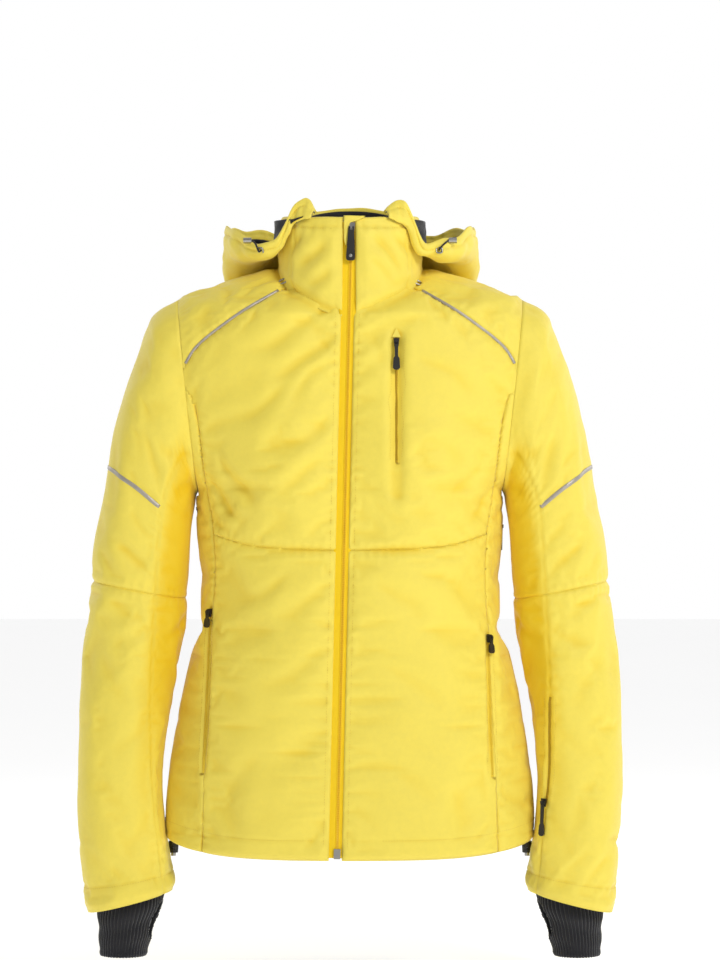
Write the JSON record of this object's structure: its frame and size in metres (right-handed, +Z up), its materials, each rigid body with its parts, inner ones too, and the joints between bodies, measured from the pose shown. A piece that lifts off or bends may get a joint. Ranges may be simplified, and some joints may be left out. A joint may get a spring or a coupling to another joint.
{
  "type": "ski jacket",
  "caption": "Insulated hooded ski jacket with stand collar, full front zip, zipped chest, hand and sleeve pockets, side vents, knitted wrist gaiters and a powder skirt.",
  "frame": {"origin": "centre of the flat underside of the hanger loop, at the centre back of the neck", "axes": "+Z up the standing jacket, -Y out of its front, +X towards the wearer's left"},
  "size_m": [0.6004, 0.302, 0.842],
  "materials": {
    "shell": "yellow padded nylon shell, matt with a soft sheen",
    "zip_tape": "deep yellow woven zip tape",
    "zip_coil": "deep yellow nylon coil",
    "lining": "near black smooth lining",
    "webbing": "black woven webbing",
    "stretch_knit": "near black brushed stretch knit",
    "reflective": "grey silver reflective tape",
    "moulded": "black moulded plastic",
    "metal": "dark nickel, satin"
  },
  "bodies": {
    "body_shell": {"chest_panel_left": "shell", "chest_panel_right": "shell", "front_panel_left": "shell", "front_panel_right": "shell", "shoulder_yoke_left": "shell", "shoulder_yoke_right": "shell", "side_panel_left": "shell", "side_panel_right": "shell", "back_panel": "shell", "back_yoke": "shell", "collar_shell": "shell", "collar_lining": "lining", "hanger_loop": "webbing", "body_lining": "lining", "powder_skirt": "lining", "zip_tape_left": "zip_tape", "zip_tape_right": "zip_tape", "zip_coil": "zip_coil", "zip_bottom_box": "metal", "wind_flap": "shell", "chin_guard": "shell", "chest_zip_garage": "shell", "reflective_piping_left": "reflective", "reflective_piping_right": "reflective", "chest_zip": "zip_tape", "hand_left_zip": "zip_tape", "hand_right_zip": "zip_tape", "vent_left_zip": "zip_tape", "vent_right_zip": "zip_tape", "hem_lock_left": "moulded", "hem_lock_right": "moulded"},
    "hood": {"hood_shell": "shell", "hood_lining": "lining", "hood_cord_lock_left": "metal", "hood_cord_lock_right": "metal"},
    "main_slider": {"main_slider": "metal"},
    "main_pull": {"main_pull": "moulded"},
    "chest_slider": {"chest_slider": "moulded"},
    "chest_pull": {"chest_pull": "moulded"},
    "hand_left_slider": {"hand_left_slider": "moulded"},
    "hand_left_pull": {"hand_left_pull": "moulded"},
    "hand_right_slider": {"hand_right_slider": "moulded"},
    "hand_right_pull": {"hand_right_pull": "moulded"},
    "vent_left_slider": {"vent_left_slider": "moulded"},
    "vent_left_pull": {"vent_left_pull": "moulded"},
    "vent_right_slider": {"vent_right_slider": "moulded"},
    "vent_right_pull": {"vent_right_pull": "moulded"},
    "sleeve_slider": {"sleeve_slider": "moulded"},
    "sleeve_pull": {"sleeve_pull": "moulded"},
    "upper_sleeve_left": {"upper_sleeve_left": "shell", "arm_band_left": "reflective"},
    "lower_sleeve_left": {"lower_sleeve_left": "shell", "wrist_gaiter_left": "stretch_knit", "sleeve_zip": "zip_tape"},
    "hem_button_left": {"hem_lock_button_left": "metal"},
    "upper_sleeve_right": {"upper_sleeve_right": "shell", "arm_band_right": "reflective"},
    "lower_sleeve_right": {"lower_sleeve_right": "shell", "wrist_gaiter_right": "stretch_knit"},
    "hem_button_right": {"hem_lock_button_right": "metal"}
  },
  "joints": [
    {"name": "main_zip_slide", "type": "slide", "parent": "body_shell", "child": "main_slider", "axis": [-0.0221, -0.0706, -0.9973], "range_m": [0, 0.668]},
    {"name": "main_pull_swing", "type": "hinge", "parent": "main_slider", "child": "main_pull", "pos_m": [0.00135, -0.15201, 0.04534], "axis": [-0.9998, 0, 0.0222], "range_deg": [0, 110]},
    {"name": "chest_zip_slide", "type": "slide", "parent": "body_shell", "child": "chest_slider", "axis": [0, -0.1236, -0.9923], "range_m": [0, 0.122]},
    {"name": "chest_pull_swing", "type": "hinge", "parent": "chest_slider", "child": "chest_pull", "pos_m": [0.051, -0.1609, -0.08038], "axis": [-1, 0, 0], "range_deg": [0, 100]},
    {"name": "hand_left_zip_slide", "type": "slide", "parent": "body_shell", "child": "hand_left_slider", "axis": [0.0249, -0.1776, -0.9838], "range_m": [0, 0.145]},
    {"name": "hand_left_pull_swing", "type": "hinge", "parent": "hand_left_slider", "child": "hand_left_pull", "pos_m": [0.15646, -0.1275, -0.40725], "axis": [-0.6928, -0.7126, 0.1111], "range_deg": [0, 100]},
    {"name": "hand_right_zip_slide", "type": "slide", "parent": "body_shell", "child": "hand_right_slider", "axis": [-0.0378, -0.1756, -0.9837], "range_m": [0, 0.168]},
    {"name": "hand_right_pull_swing", "type": "hinge", "parent": "hand_right_slider", "child": "hand_right_pull", "pos_m": [-0.15854, -0.11898, -0.37922], "axis": [-0.6935, 0.7134, -0.1007], "range_deg": [0, 100]},
    {"name": "vent_left_zip_slide", "type": "slide", "parent": "body_shell", "child": "vent_left_slider", "axis": [-0.0287, -0.0023, -0.9996], "range_m": [0, 0.078]},
    {"name": "vent_left_pull_swing", "type": "hinge", "parent": "vent_left_slider", "child": "vent_left_pull", "pos_m": [0.17133, -0.06099, -0.28513], "axis": [0, -1, 0.0023], "range_deg": [0, 12]},
    {"name": "vent_right_zip_slide", "type": "slide", "parent": "body_shell", "child": "vent_right_slider", "axis": [0.0507, -0.0058, -0.9987], "range_m": [0, 0.078]},
    {"name": "vent_right_pull_swing", "type": "hinge", "parent": "vent_right_slider", "child": "vent_right_pull", "pos_m": [-0.17229, -0.06077, -0.26522], "axis": [0, 1, -0.0058], "range_deg": [0, 12]},
    {"name": "sleeve_zip_slide", "type": "slide", "parent": "lower_sleeve_left", "child": "sleeve_slider", "axis": [0.0362, -0.0253, 0.999], "range_m": [0, 0.106]},
    {"name": "sleeve_pull_swing", "type": "hinge", "parent": "sleeve_slider", "child": "sleeve_pull", "pos_m": [0.21304, -0.1315, -0.58929], "axis": [-0.8754, 0.4815, 0.0439], "range_deg": [0, 100]},
    {"name": "shoulder_left", "type": "hinge", "parent": "body_shell", "child": "upper_sleeve_left", "pos_m": [0.1937, -0.065, -0.0305], "axis": [0, -1, 0], "range_deg": [0, 20]},
    {"name": "elbow_left", "type": "hinge", "parent": "upper_sleeve_left", "child": "lower_sleeve_left", "pos_m": [0.2376, -0.1335, -0.3572], "axis": [-0.9795, 0, -0.2014], "range_deg": [0, 45]},
    {"name": "hem_lock_press_left", "type": "slide", "parent": "body_shell", "child": "hem_button_left", "axis": [0, 0, 1], "range_m": [0, 0.0025], "stiffness_N_per_m": 200, "springref_m": -0.001},
    {"name": "shoulder_right", "type": "hinge", "parent": "body_shell", "child": "upper_sleeve_right", "pos_m": [-0.1937, -0.065, -0.0305], "axis": [0, 1, 0], "range_deg": [0, 20]},
    {"name": "elbow_right", "type": "hinge", "parent": "upper_sleeve_right", "child": "lower_sleeve_right", "pos_m": [-0.2376, -0.1335, -0.3572], "axis": [-0.9795, 0, 0.2014], "range_deg": [0, 45]},
    {"name": "hem_lock_press_right", "type": "slide", "parent": "body_shell", "child": "hem_button_right", "axis": [0, 0, 1], "range_m": [0, 0.0025], "stiffness_N_per_m": 200, "springref_m": -0.001},
    {"name": "hood_lift_off", "type": "slide", "parent": "body_shell", "child": "hood", "axis": [0, 0, 1], "range_m": [0, 0.25]}
  ]
}
